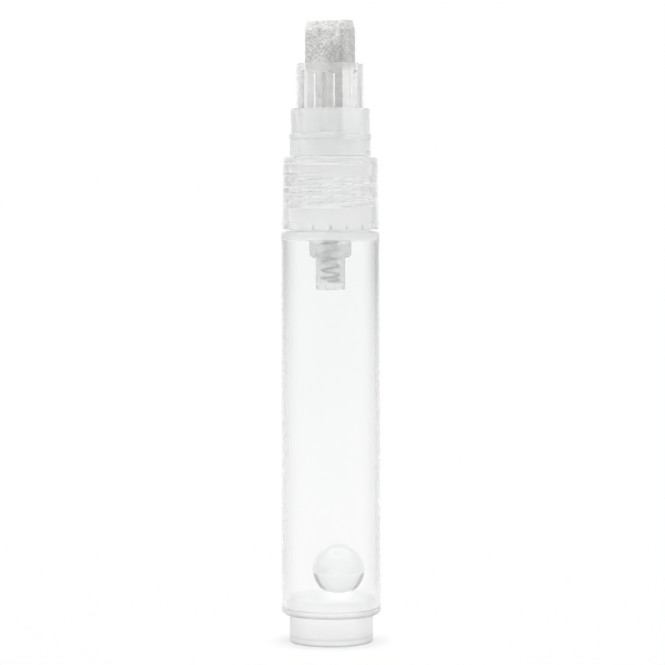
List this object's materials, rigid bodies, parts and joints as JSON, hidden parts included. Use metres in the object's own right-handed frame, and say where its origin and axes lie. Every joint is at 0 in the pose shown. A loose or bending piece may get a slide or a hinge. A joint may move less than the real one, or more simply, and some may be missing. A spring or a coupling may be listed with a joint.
{
  "type": "empty pump marker",
  "caption": "Refillable pump marker with a clear empty barrel, loose mixing ball, footed end plug, screw-on spring valve head and a bevelled felt nib in a ribbed sleeve.",
  "frame": {"origin": "centre of the foot's underside", "axes": "+Z along the barrel, from the foot up to the nib; +X along the nib's width"},
  "size_m": [0.0212, 0.0212, 0.1328],
  "materials": {
    "barrel_clear": "clear moulded plastic, faintly hazy",
    "plug_clear": "clear moulded plastic",
    "ball_glass": "polished clear glass",
    "gasket_rubber": "pale soft ring",
    "head_milky": "milky translucent moulded plastic",
    "collar_clear": "clear moulded plastic",
    "sleeve_clear": "clear moulded plastic",
    "nib_felt": "pressed white-grey felt",
    "plunger_milky": "milky translucent moulded plastic",
    "seal_rubber": "soft ring",
    "spring_steel": "drawn steel wire",
    "cage_milky": "milky translucent moulded plastic"
  },
  "bodies": {
    "barrel": {"barrel": "barrel_clear", "end_plug": "plug_clear"},
    "ball": {"mixing_ball": "ball_glass"},
    "valve_head": {"valve_head": "head_milky", "neck_gasket": "gasket_rubber", "nib_sleeve": "sleeve_clear", "valve_cage": "cage_milky", "valve_spring": "spring_steel"},
    "screw_collar": {"screw_collar": "collar_clear"},
    "plunger": {"valve_plunger": "plunger_milky", "plunger_seal": "seal_rubber"},
    "nib": {"nib": "nib_felt"}
  },
  "joints": [
    {"name": "head_lift", "type": "slide", "parent": "barrel", "child": "valve_head", "axis": [0, 0, 1], "range_m": [0, 0.0097]},
    {"name": "collar_turn", "type": "hinge", "parent": "valve_head", "child": "screw_collar", "pos_m": [0, 0, 0.095], "axis": [0, 0, 1], "range_deg": [0, 1440]},
    {"name": "valve_press", "type": "slide", "parent": "valve_head", "child": "plunger", "axis": [0, 0, -1], "range_m": [0, 0.003], "stiffness_N_per_m": 400, "springref_m": -0.005, "deforming": ["valve_spring"]},
    {"name": "nib_pull", "type": "slide", "parent": "plunger", "child": "nib", "axis": [0, 0, 1], "range_m": [0, 0.02]},
    {"name": "ball_travel", "type": "slide", "parent": "barrel", "child": "ball", "axis": [0, 0, 1], "range_m": [0, 0.0543]}
  ],
  "couplings": [
    {"joint": "head_lift", "follows": "collar_turn", "m_per_rad": 0.00038197}
  ]
}
